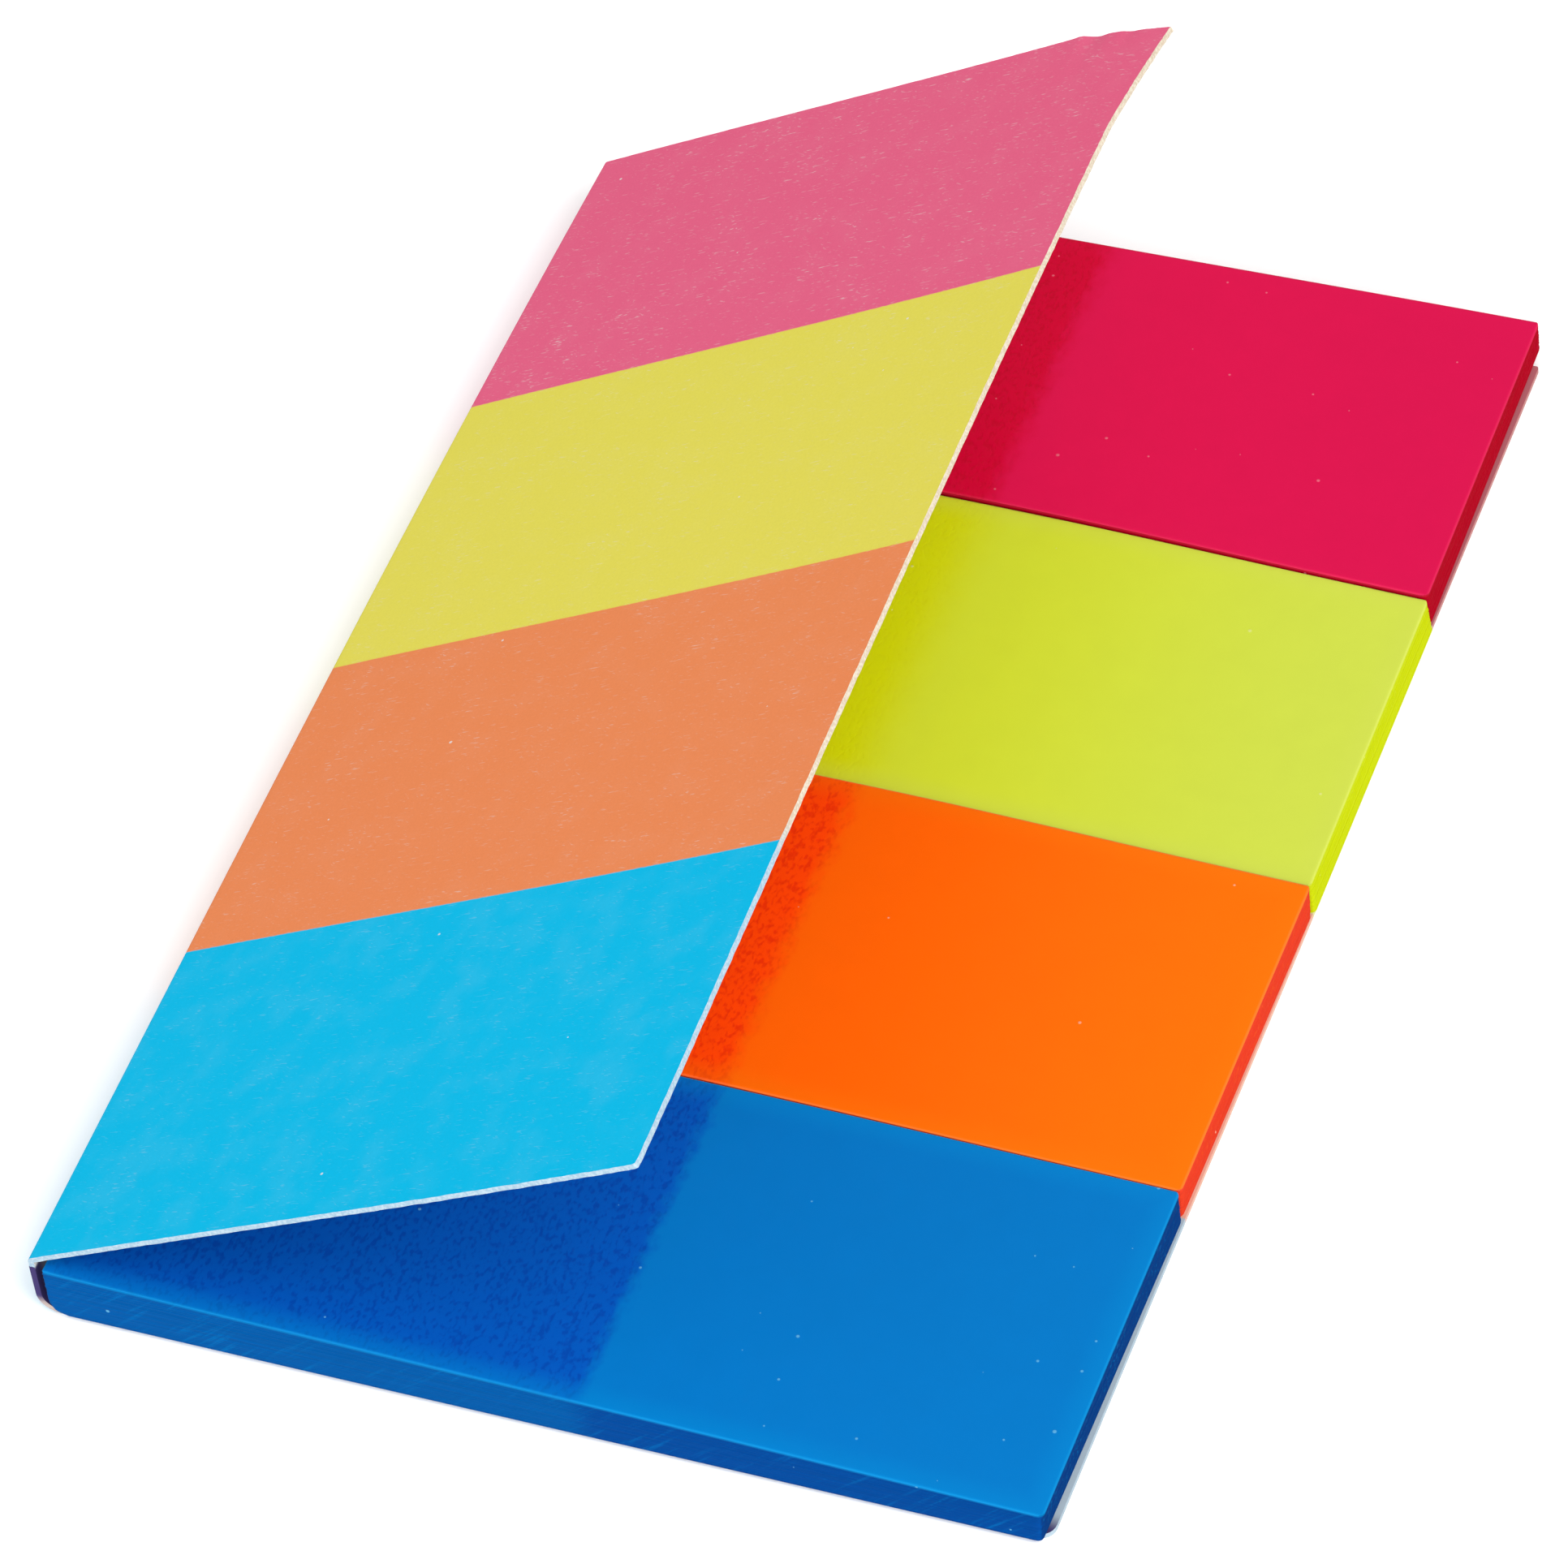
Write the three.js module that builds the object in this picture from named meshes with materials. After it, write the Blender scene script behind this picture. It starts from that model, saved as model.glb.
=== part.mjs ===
// Index tabs in a folded card booklet: four pads of film tabs side by side on a card
// back, with a spine at one end of the tabs and a printed cover hinged on the spine.
//
// Millimetres. X runs across the booklet, from the spine to the free ends of the tabs.
// Y runs along the spine, from the blue pad to the magenta pad. Z is up.
// The origin is under the middle of the booklet, on the surface that it lies on.

import * as THREE from 'three';

// The tabs. Each pad is a stack of films, and adhesive makes its spine end thicker.
const TAB_LENGTH = 50;
const TAB_PITCH = 20;
const TAB_GAP = 0.1;
const PAD_THICK_AT_SPINE = 3.06;
const PAD_THICK_AT_FREE_END = 1.95;
const PAD_HEEL_RADIUS = 0.85;

// Near to far. A pad lies a little off square with the card, towards or away from the
// spine, and is a little thicker or thinner than the others at each end.
const PADS = [
  { name: 'blue_tab_pad', colour: 0x0082ce, fromSpine: -0.1, extraAtSpine: 0, extraAtFreeEnd: 0 },
  { name: 'orange_tab_pad', colour: 0xff7206, fromSpine: 0.07, extraAtSpine: 0.05, extraAtFreeEnd: 0.06 },
  { name: 'yellow_tab_pad', colour: 0xd4e656, fromSpine: 0.1, extraAtSpine: -0.06, extraAtFreeEnd: -0.06 },
  { name: 'magenta_tab_pad', colour: 0xe01652, fromSpine: 0, extraAtSpine: 0.06, extraAtFreeEnd: 0.14 },
];

// The card. It stops short of the outer pads at both ends, and its far edge is cut a
// little out of square, more along the back panel than along the cover.
const CARD_THICKNESS = 0.3;
const CARD_NEAR_INSET = 0.3;
const CARD_FAR_INSET = 1;
const BACK_CUT_SKEW = 1.45;
const COVER_CUT_SKEW = 0.77;
const CARD_PAST_TABS = 0.15;
const SPINE_TO_PADS = 0.55;
const SPINE_LEAN = 0.2;
const LOWER_FOLD_INNER_RADIUS = 0.85;

// The cover. Its angles are taken from the pads' plane, and it is a little twisted.
const COVER_WIDTH_NEAR = 37.2;
const COVER_WIDTH_FAR = 37.05;
const COVER_ANGLE_NEAR = 28.1;
const COVER_ANGLE_FAR = 29.7;
const HINGE_ABOVE_PADS = 0.16;
const HINGE_CLEARANCE = 0.16;

// The dent at the cover's far free corner, where the card is bent down along a crease.
const DENT_ALONG_FAR_EDGE = 5.4;
const DENT_ALONG_FREE_EDGE = 5.8;
const DENT_DROP = 1.15;

// The cover's grid: a count each way, and a power that crowds its lines at the dent.
const GRID_ACROSS = 10;
const GRID_ALONG = 12;
const GRID_CROWDING = 1.8;
const ARC_SEGMENTS = 6;

const blockLength = PADS.length * TAB_PITCH;
const spineTopInnerX = -SPINE_TO_PADS - SPINE_LEAN;
const spineTopOuterX = spineTopInnerX - CARD_THICKNESS;
const cardFreeEdgeX = TAB_LENGTH + CARD_PAST_TABS;
const thickestAtSpine = PAD_THICK_AT_SPINE + Math.max(...PADS.map((pad) => pad.extraAtSpine));
const hingeX = (spineTopInnerX + spineTopOuterX) / 2;
const hingeZ = CARD_THICKNESS + thickestAtSpine + HINGE_ABOVE_PADS;

const booklet = new THREE.Group();
booklet.position.set(-(spineTopOuterX + cardFreeEdgeX) / 2, -blockLength / 2, 0);

function finish(colour, roughness) {
  return new THREE.MeshStandardMaterial({ color: colour, roughness, metalness: 0 });
}

// Draws a side outline in X and Z and carries it along Y, from nearY to farY.
function extrudeAlongY(name, outline, nearY, farY, material) {
  const geometry = new THREE.ExtrudeGeometry(outline, {
    depth: farY - nearY,
    bevelEnabled: false,
    curveSegments: ARC_SEGMENTS,
  });
  const mesh = new THREE.Mesh(geometry, material);
  mesh.name = name;
  mesh.rotation.x = Math.PI / 2;
  mesh.position.y = farY;
  return mesh;
}

// How far an edge that is cut out of square comes nearer over a width of card.
function cutShift(width, skew) {
  return width * Math.tan(THREE.MathUtils.degToRad(skew));
}

// The back panel, the rounded lower fold and the spine, as one bent strip of card.
function backCard() {
  const foldX = LOWER_FOLD_INNER_RADIUS - SPINE_TO_PADS;
  const foldZ = CARD_THICKNESS + LOWER_FOLD_INNER_RADIUS;
  const outerRadius = LOWER_FOLD_INNER_RADIUS + CARD_THICKNESS;
  const spineTopZ = hingeZ - HINGE_CLEARANCE;
  const outline = new THREE.Shape();
  outline.moveTo(cardFreeEdgeX, CARD_THICKNESS);
  outline.lineTo(foldX, CARD_THICKNESS);
  outline.absarc(foldX, foldZ, LOWER_FOLD_INNER_RADIUS, 1.5 * Math.PI, Math.PI, true);
  outline.lineTo(spineTopInnerX, spineTopZ);
  outline.lineTo(spineTopOuterX, spineTopZ);
  outline.lineTo(foldX - outerRadius, foldZ);
  outline.absarc(foldX, foldZ, outerRadius, Math.PI, 1.5 * Math.PI, false);
  outline.lineTo(cardFreeEdgeX, 0);
  outline.closePath();
  const farY = blockLength - CARD_FAR_INSET;
  const card = extrudeAlongY('back_card', outline, CARD_NEAR_INSET, farY, finish(0xeceae4, 0.8));
  const points = card.geometry.getAttribute('position');
  for (let i = 0; i < points.count; i += 1) {
    const isFarEnd = points.getZ(i) === 0;
    if (isFarEnd) points.setZ(i, cutShift(cardFreeEdgeX - points.getX(i), BACK_CUT_SKEW));
  }
  card.geometry.computeVertexNormals();
  return card;
}

// A pad: thicker at the spine, level underneath, and rounded at its heel, where the
// lowest films follow the card's fold.
function tabPad(pad, index) {
  const spineEndX = pad.fromSpine;
  const freeEndX = spineEndX + TAB_LENGTH;
  const heelX = spineEndX + PAD_HEEL_RADIUS;
  const heelZ = CARD_THICKNESS + PAD_HEEL_RADIUS;
  const freeEndZ = CARD_THICKNESS + PAD_THICK_AT_FREE_END + pad.extraAtFreeEnd;
  const spineEndZ = CARD_THICKNESS + PAD_THICK_AT_SPINE + pad.extraAtSpine;
  const outline = new THREE.Shape();
  outline.moveTo(heelX, CARD_THICKNESS);
  outline.lineTo(freeEndX, CARD_THICKNESS);
  outline.lineTo(freeEndX, freeEndZ);
  outline.lineTo(spineEndX, spineEndZ);
  outline.lineTo(spineEndX, heelZ);
  outline.absarc(heelX, heelZ, PAD_HEEL_RADIUS, Math.PI, 1.5 * Math.PI, false);
  outline.closePath();
  const nearY = index * TAB_PITCH + TAB_GAP / 2;
  const farY = (index + 1) * TAB_PITCH - TAB_GAP / 2;
  return extrudeAlongY(pad.name, outline, nearY, farY, finish(pad.colour, 0.45));
}

// How far beyond the dent's crease a point of the cover lies, from 0 at the crease to 1
// at the corner. The crease joins a point of the far edge to a point of the free edge.
function shareOfDent(toFreeEdge, toFarEdge) {
  return Math.max(0, 1 - toFreeEdge / DENT_ALONG_FAR_EDGE - toFarEdge / DENT_ALONG_FREE_EDGE);
}

// Crowds evenly spaced values from 0 to 1 towards 1.
function crowded(share) {
  return 1 - (1 - share) ** GRID_CROWDING;
}

// The cover: a thin plate that starts beside the hinge line, twists a little along the
// spine, and is bent down at its far free corner.
function frontCover() {
  const plate = new THREE.BoxGeometry(1, 1, CARD_THICKNESS, GRID_ACROSS, GRID_ALONG, 1);
  const points = plate.getAttribute('position');
  const twist = THREE.MathUtils.degToRad(COVER_ANGLE_FAR - COVER_ANGLE_NEAR);
  const spineFarY = blockLength - CARD_FAR_INSET - cutShift(cardFreeEdgeX - hingeX, BACK_CUT_SKEW);
  for (let i = 0; i < points.count; i += 1) {
    const shareAcross = crowded(points.getX(i) + 0.5);
    const shareAlong = crowded(points.getY(i) + 0.5);
    const coverWidth = THREE.MathUtils.lerp(COVER_WIDTH_NEAR, COVER_WIDTH_FAR, shareAlong);
    const across = THREE.MathUtils.lerp(HINGE_CLEARANCE, coverWidth, shareAcross);
    const coverLength = spineFarY - CARD_NEAR_INSET - cutShift(across, COVER_CUT_SKEW);
    const along = coverLength * shareAlong;
    const bent = shareOfDent(coverWidth - across, coverLength - along);
    const height = points.getZ(i) - DENT_DROP * bent;
    const turned = twist * shareAlong;
    points.setXYZ(
      i,
      across * Math.cos(turned) - height * Math.sin(turned),
      CARD_NEAR_INSET + along,
      across * Math.sin(turned) + height * Math.cos(turned),
    );
  }
  plate.computeVertexNormals();
  const mesh = new THREE.Mesh(plate, finish(0xe8a070, 0.7));
  mesh.name = 'front_cover';
  const hinge = new THREE.Group();
  hinge.position.set(hingeX, 0, hingeZ);
  hinge.rotation.y = -THREE.MathUtils.degToRad(COVER_ANGLE_NEAR);
  hinge.add(mesh);
  return hinge;
}

booklet.add(backCard());
PADS.forEach((pad, index) => booklet.add(tabPad(pad, index)));
booklet.add(frontCover());

export default booklet;
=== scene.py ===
"""Looks for index tabs in a folded card booklet.

A card back with its spine, a crease, a printed cover and four stacks of tinted film are
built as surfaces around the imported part, with their finishes, a floor, lights and camera.

Lengths are in millimetres in the booklet's own frame: X runs from the spine to the free
ends of the tabs, Y from the blue tabs to the magenta tabs, and Z up from the table.
to_part_frame() takes them to metres in the part's frame.
"""

import math

import bpy
import numpy as np
from mathutils import Matrix


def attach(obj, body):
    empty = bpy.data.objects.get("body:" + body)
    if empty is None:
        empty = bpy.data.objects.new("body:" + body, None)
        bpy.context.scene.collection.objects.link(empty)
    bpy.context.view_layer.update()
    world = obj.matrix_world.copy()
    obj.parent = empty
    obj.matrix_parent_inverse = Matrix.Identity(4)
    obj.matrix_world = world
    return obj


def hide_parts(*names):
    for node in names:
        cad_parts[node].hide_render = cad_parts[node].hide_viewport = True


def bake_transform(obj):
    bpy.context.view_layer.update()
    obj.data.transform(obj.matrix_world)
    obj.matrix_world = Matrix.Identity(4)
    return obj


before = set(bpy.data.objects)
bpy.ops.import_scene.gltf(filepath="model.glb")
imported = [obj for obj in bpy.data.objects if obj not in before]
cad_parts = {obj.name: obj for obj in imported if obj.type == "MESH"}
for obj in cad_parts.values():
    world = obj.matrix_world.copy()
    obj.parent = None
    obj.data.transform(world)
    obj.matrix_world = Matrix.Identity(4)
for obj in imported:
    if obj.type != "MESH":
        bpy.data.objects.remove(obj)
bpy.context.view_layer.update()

MM = 0.001
BOOKLET_ORIGIN = np.array([24.55, 40.0, 0.0])
RANDOM = np.random.default_rng(11)

# The card: its thickness and cut edges, the length over which the back's free edge goes from
# its near to its far place, the radii of the back's corners and the zone that holds them, and
# the roughness of the cover's edges with how far in it reaches.
CARD_THICKNESS = 0.3
HALF_CARD = CARD_THICKNESS / 2
CARD_NEAR_Y = 0.3
CARD_FAR_Y = 79.0
BACK_CUT_SKEW = 1.22
COVER_CUT_SKEW = 0.8
CARD_FREE_EDGE_NEAR = 50.02
CARD_FREE_EDGE_FAR = 50.17
BACK_CORNER_RADII = (0.75, 0.1, 0.1, 0.15)
BACK_CORNER_ZONE = 10.0
FREE_EDGE_SKEW_LENGTH = 45.0
EDGE_ROUGHNESS = 0.022
EDGE_DEPTH = 0.5

# The spine: a lower fold, a lean, and a top that bows away from the pads between its ends.
LOWER_FOLD_X = 0.30
LOWER_FOLD_Z = 1.15
LOWER_FOLD_RADIUS = 1.0
HINGE_X = -0.90
HINGE_Z = 3.58
FOLD_BOW_NEAR = 0.16
FOLD_BOW_FAR = 0.45
SPINE_LEAN = math.atan2(HINGE_Z - LOWER_FOLD_Z, HINGE_X - (LOWER_FOLD_X - LOWER_FOLD_RADIUS))

# The crease between spine and cover, and how far it reaches along each of them.
CREASE_RADIUS = 0.2
CREASE_REACH = 0.45

# The cover: width, near free corner, twist, a slight sag, and the dent at its far free corner.
COVER_WIDTH = 36.87
COVER_CORNER_RADIUS = 0.22
COVER_ANGLE_NEAR = 28.1
COVER_ANGLE_FAR = 29.7
COVER_SAG = 0.1
DENT_ALONG_FAR_EDGE = 5.4
DENT_ALONG_FREE_EDGE = 8.5
DENT_DROP = 0.85
DENT_CURVE = 1.3

# The buckles in the cover's far edge by the dent: height, distance from the free edge and
# half width of each, and how far they reach in from the far edge.
BUCKLES = ((0.13, 4.15, 0.5), (-0.06, 5.15, 0.35), (0.05, 2.15, 0.35), (-0.02, 2.75, 0.3))
BUCKLE_REACH = 1.1

# The card's grids: counts of points, and powers that crowd them towards the ends.
SPINE_GRID = (240, 1.15)
PANEL_GRID = (46, 2.2)
LOWER_FOLD_POINTS = 15
SPINE_POINTS = 9
CREASE_POINTS = 21
COVER_GRID_ACROSS = (110, 1.5)
COVER_GRID_ALONG = (250, 1.35)
LONG_EDGE_KNOTS = 330
SHORT_EDGE_KNOTS = 150

# The print: where one band ends and the next begins along the spine.
BAND_EDGES = (20.27, 39.9, 58.95)

# The films: their length, how many there are in a stack and loops of points round each, how
# deep the line between two is, how far they stand out of line, and where the adhesive ends.
TAB_LENGTH = 50.0
FILMS_IN_STACK = 40
LOOPS_PER_FILM = 3
FILM_LINE_DEPTH = 0.008
FILM_SCATTER = 0.012
ADHESIVE_REACH = 27.0

# The form of a stack: its grid, the rounding of its corners and top rim, the heel at the
# spine, a slow wave in its top, and shares of its length at which it humps and lifts.
# UNDERSIDE_BELOW_TOP is what the underside keeps as its distance from the top rim.
STACK_GRID_ALONG = (64, 2.0)
STACK_GRID_ACROSS = (40, 2.0)
SPINE_CORNER_RADIUS = 0.12
STACK_CORNER_RADIUS = 0.28
STACK_TOP_ROUNDING = 0.07
TOP_RIM_DROP = 0.8
TOP_RIM_INSET = STACK_TOP_ROUNDING * 0.6
TOP_RIM_SHARE = 0.04
UNDERSIDE_BELOW_TOP = 3.0
HEEL_RADIUS = 0.85
HEEL_REACH = 4.0
TOP_WAVE = 0.02
TOP_WAVE_TURN = 9.0
TOP_WAVE_OFFSET = 7.0
HUMP_AT = 0.6
HUMP_WIDTH = 0.24
LIFT_FROM = 0.55
DROOP_POWER = 1.5

# The stacks, near to far. Pairs are for the near and far side of a stack: the X of its free
# end at the top and bottom, the height of its top there, how far it has lifted off the card,
# and the hump where the adhesive ends. y_slant moves the near side of the free end, and
# droop and far_slant take the far side of the spine end down and nearer.
STACKS = [
    {
        "name": "blue_films", "node": "blue_tab_pad", "slot": "blue_film",
        "y": (0.02, 19.93), "y_slant": -0.1, "spine_x": -0.1, "spine_top": 3.33,
        "top_x": (49.83, 49.95), "bottom_x": (49.68, 49.97), "top_z": (2.22, 2.30),
        "lift": (0.0, 0.0), "hump": (0.04, 0.1), "droop": 0.0, "far_slant": 0.0,
    },
    {
        "name": "orange_films", "node": "orange_tab_pad", "slot": "orange_film",
        "y": (20.01, 39.94), "y_slant": 0.0, "spine_x": 0.05, "spine_top": 3.37,
        "top_x": (49.98, 50.16), "bottom_x": (49.93, 50.13), "top_z": (2.27, 2.39),
        "lift": (0.0, 0.0), "hump": (0.1, 0.3), "droop": 0.0, "far_slant": 0.0,
    },
    {
        "name": "yellow_films", "node": "yellow_tab_pad", "slot": "yellow_film",
        "y": (40.02, 59.93), "y_slant": 0.0, "spine_x": 0.1, "spine_top": 3.25,
        "top_x": (50.1, 50.05), "bottom_x": (50.24, 50.25), "top_z": (2.24, 2.17),
        "lift": (0.0, 0.0), "hump": (0.3, 0.28), "droop": 0.0, "far_slant": 0.0,
    },
    {
        "name": "magenta_films", "node": "magenta_tab_pad", "slot": "magenta_film",
        "y": (60.01, 79.95), "y_slant": 0.0, "spine_x": 0.0, "spine_top": 3.39,
        "top_x": (50.0, 49.96), "bottom_x": (50.1, 49.98), "top_z": (2.36, 2.55),
        "lift": (0.08, 0.48), "hump": (0.34, -0.05), "droop": 0.6, "far_slant": 0.75,
    },
]

# The camera, solved from the photograph: its place in millimetres of the part's frame, and
# its right, down and forward axes.
CAMERA_AT = (122.37, -266.90, 318.79)
CAMERA_RIGHT = (0.93830, 0.33524, -0.08492)
CAMERA_DOWN = (0.19326, -0.71192, -0.67514)
CAMERA_FORWARD = (-0.28679, 0.61707, -0.73278)
CAMERA_LENS = 200.94
CAMERA_SENSOR = 36.0
CAMERA_CLIP_START = 0.01

# The light: the even surroundings, and each softbox's name, place and size in metres, and
# power in watts.
WORLD_LIGHT = 0.62
SOFTBOXES = [
    ("left_softbox", (-0.75, -0.35, 0.75), 0.8, 2.6),
    ("right_softbox", (0.85, -0.25, 0.5), 0.8, 5.0),
    ("front_softbox", (0.15, -0.95, 0.45), 0.8, 7.5),
    ("top_softbox", (0.5, -0.3, 0.8), 0.6, 4.6),
]

# The floor: half its width, how far it lies under the card, and its points each way.
FLOOR_REACH = 1500.0
FLOOR_BELOW = 0.01
FLOOR_POINTS = 31


def to_part_frame(points):
    """Booklet millimetres to metres in the part's frame: take off the origin and scale."""
    return (np.asarray(points, float) - BOOKLET_ORIGIN) * MM


def between(pair, share):
    """The value at a share of the way from a pair's first number to its second."""
    return pair[0] + (pair[1] - pair[0]) * share


def smooth_step(low, high, value):
    """0 below low, 1 above high, and 3t^2 - 2t^3 of the share t in between."""
    share = np.clip((value - low) / (high - low), 0.0, 1.0)
    return share * share * (3.0 - 2.0 * share)


def crowded_shares(count, power):
    """count shares from 0 to 1, crowded at both ends: half of (1 - |1 - 2s|)^power, mirrored."""
    even = np.linspace(0.0, 1.0, count)
    reach = 1.0 - np.abs(1.0 - 2.0 * even)
    folded = 0.5 * reach**power
    return np.where(even < 0.5, folded, 1.0 - folded)


def edge_wobble(count, size, knots):
    """A random wobble of the given size: random knots joined by straight runs."""
    values = RANDOM.uniform(-size, size, knots)
    return np.interp(np.linspace(0.0, 1.0, count), np.linspace(0.0, 1.0, knots), values)


def grid_quads(rows, columns):
    """The quads of a rows by columns grid of points numbered row by row."""
    first = (np.arange(rows - 1)[:, None] * columns + np.arange(columns - 1)[None, :]).ravel()
    return np.stack([first, first + columns, first + columns + 1, first + 1], axis=1)


def border_walk(rows, columns):
    """The numbers of a grid's border points in order round it, and of the points inside them."""
    numbers = np.arange(rows * columns).reshape(rows, columns)
    walk = np.concatenate([numbers[0, :-1], numbers[:-1, -1], numbers[-1, :0:-1], numbers[:0:-1, 0]])
    row, column = walk // columns, walk % columns
    inside = np.clip(row, 1, rows - 2) * columns + np.clip(column, 1, columns - 2)
    return walk, inside


def loop_quads(upper, lower):
    """Quads between two closed loops of points given by their numbers."""
    return np.stack([upper, np.roll(upper, -1), np.roll(lower, -1), lower], axis=1)


def closed_shell(name, top, bottom, wall_loops, materials, crease_angle=35.0, values=None):
    """A closed body: a top grid, a bottom grid and wall loops from the top's border down.

    top and bottom are rows by columns by 3 arrays and wall_loops is loops by border points
    by 3. Materials are for the top, the wall and the bottom. values holds point values
    as attributes, in the order top, wall, bottom.
    """
    rows, columns = top.shape[:2]
    walk = border_walk(rows, columns)[0]
    points = np.concatenate([top.reshape(-1, 3), wall_loops.reshape(-1, 3), bottom.reshape(-1, 3)])
    bottom_start = rows * columns + wall_loops.shape[0] * len(walk)
    top_quads = grid_quads(rows, columns)
    loops = [walk]
    loops += [rows * columns + level * len(walk) + np.arange(len(walk)) for level in range(len(wall_loops))]
    loops += [bottom_start + walk]
    wall_quads = np.concatenate([loop_quads(upper, lower) for upper, lower in zip(loops, loops[1:])])
    bottom_quads = grid_quads(rows, columns)[:, ::-1] + bottom_start
    quads = np.concatenate([top_quads, wall_quads, bottom_quads])
    finish = np.repeat([0, 1, 2], [len(top_quads), len(wall_quads), len(bottom_quads)])
    return add_piece(name, points, outward(points, quads), materials, finish, crease_angle, values)


def outward(points, quads):
    """The quads, turned round where the body they close has a negative volume."""
    a, b, c, d = (points[quads[:, corner]] for corner in range(4))
    volume = np.einsum("ij,ij->i", a, np.cross(b, c) + np.cross(c, d)).sum()
    return quads if volume > 0.0 else quads[:, ::-1]


def add_piece(name, points, faces, materials, finish, crease_angle, values=None):
    """Puts points in booklet millimetres and their faces into a mesh object at the origin."""
    mesh = bpy.data.meshes.new(name)
    mesh.from_pydata(to_part_frame(points), [], faces)
    mesh.polygons.foreach_set("material_index", np.asarray(finish, np.int32))
    mesh.polygons.foreach_set("use_smooth", np.ones(len(faces), bool))
    for material in materials:
        mesh.materials.append(material)
    for key, numbers in (values or {}).items():
        kept = mesh.attributes.new(key, "FLOAT", "POINT")
        kept.data.foreach_set("value", np.asarray(numbers, np.float32))
    mesh.update()
    mesh.set_sharp_from_angle(angle=math.radians(crease_angle))
    piece = bpy.data.objects.new(name, mesh)
    bpy.context.scene.collection.objects.link(piece)
    return piece


# Finishes


# The light that reaches the cover, the free half of the films, the part of it beside the
# cover, the stuck half and the cut edges: a base colour is the screen's colour divided by it.
ON_COVER = 1.24
ON_FREE_HALF = 1.46
BESIDE_COVER = 1.28
BY_COVER = 1.16
ON_CUT_EDGES = 1.5

# Places in the part's frame at which finishes change: the X over which the strip of card
# past the films begins, in metres, and the Y of the gaps between stacks, in millimetres.
STRIP_X = (24.5 * MM, 24.8 * MM)
STACK_GAPS = (-20.0, 0.0, 20.0)


def linear(red, green, blue):
    """A colour given as 0 to 255 screen values, in the linear numbers that shaders take."""
    screen = np.array([red, green, blue]) / 255.0
    light = np.where(screen <= 0.04045, screen / 12.92, ((screen + 0.055) / 1.055) ** 2.4)
    return (*(float(value) for value in light), 1.0)


def seen(red, green, blue, light):
    """The base colour that shows as the given screen values where that much light falls."""
    return (*(min(1.0, value / light) for value in linear(red, green, blue)[:3]), 1.0)


def node(tree, kind, inputs=None, **settings):
    """Adds a node, sets its properties, and sets or links its inputs by name or number."""
    made = tree.nodes.new(kind)
    for key, value in settings.items():
        setattr(made, key, value)
    for key, value in (inputs or {}).items():
        if isinstance(value, bpy.types.NodeSocket):
            tree.links.new(value, made.inputs[key])
        else:
            made.inputs[key].default_value = value
    return made


def by_axis(tree, vector):
    """The X, Y and Z of a vector, as sockets that are named by their axis."""
    return node(tree, "ShaderNodeSeparateXYZ", {"Vector": vector}).outputs


def turned(tree, position, angles):
    """A position turned about X, Y and Z by angles in radians."""
    return node(tree, "ShaderNodeMapping", {"Vector": position, "Rotation": angles}).outputs[0]


def maths(tree, operation, first, second=0.0, third=0.0):
    """The result of a maths node on up to three sockets or numbers."""
    return node(tree, "ShaderNodeMath", {0: first, 1: second, 2: third}, operation=operation).outputs[0]


def product(tree, first, second):
    """The product of two sockets, or of a socket and a number."""
    return maths(tree, "MULTIPLY", first, second)


def mixed(tree, factor, first, second, blend="MIX"):
    """A colour mix: first where the factor is 0, second where it is 1."""
    inputs = {0: factor, 6: first, 7: second}
    return node(tree, "ShaderNodeMix", inputs, data_type="RGBA", blend_type=blend).outputs[2]


def toned(tree, colour, value):
    """A colour multiplied by one value in its three channels."""
    shade = node(tree, "ShaderNodeCombineColor", {"Red": value, "Green": value, "Blue": value})
    return mixed(tree, 1.0, colour, shade.outputs["Color"], "MULTIPLY")


def ramped(tree, value, low, high, start=0.0, end=1.0):
    """A value taken smoothly from start to end while it goes from low to high."""
    inputs = {"Value": value, "From Min": low, "From Max": high, "To Min": start, "To Max": end}
    return node(tree, "ShaderNodeMapRange", inputs, interpolation_type="SMOOTHSTEP").outputs["Result"]


def noise(tree, position, size, detail, stretch=(1.0, 1.0, 1.0)):
    """Noise from 0 to 1 with features about size millimetres wide, stretched per axis."""
    per_metre = 1.0 / (size * MM)
    scale = tuple(per_metre / factor for factor in stretch)
    mapped = node(tree, "ShaderNodeMapping", {"Vector": position, "Scale": scale})
    inputs = {"Vector": mapped.outputs[0], "Scale": 1.0, "Detail": detail}
    return node(tree, "ShaderNodeTexNoise", inputs).outputs["Fac"]


def new_group(name, inputs, outputs):
    """A shader node group with named sockets, each a value or a vector, and its two ends."""
    kinds = {"value": "NodeSocketFloat", "vector": "NodeSocketVector"}
    tree = bpy.data.node_groups.new(name, "ShaderNodeTree")
    for key, kind in inputs.items():
        tree.interface.new_socket(name=key, in_out="INPUT", socket_type=kinds[kind])
    for key, kind in outputs.items():
        tree.interface.new_socket(name=key, in_out="OUTPUT", socket_type=kinds[kind])
    entry = tree.nodes.new("NodeGroupInput")
    result = tree.nodes.new("NodeGroupOutput")
    return tree, entry, result


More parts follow.
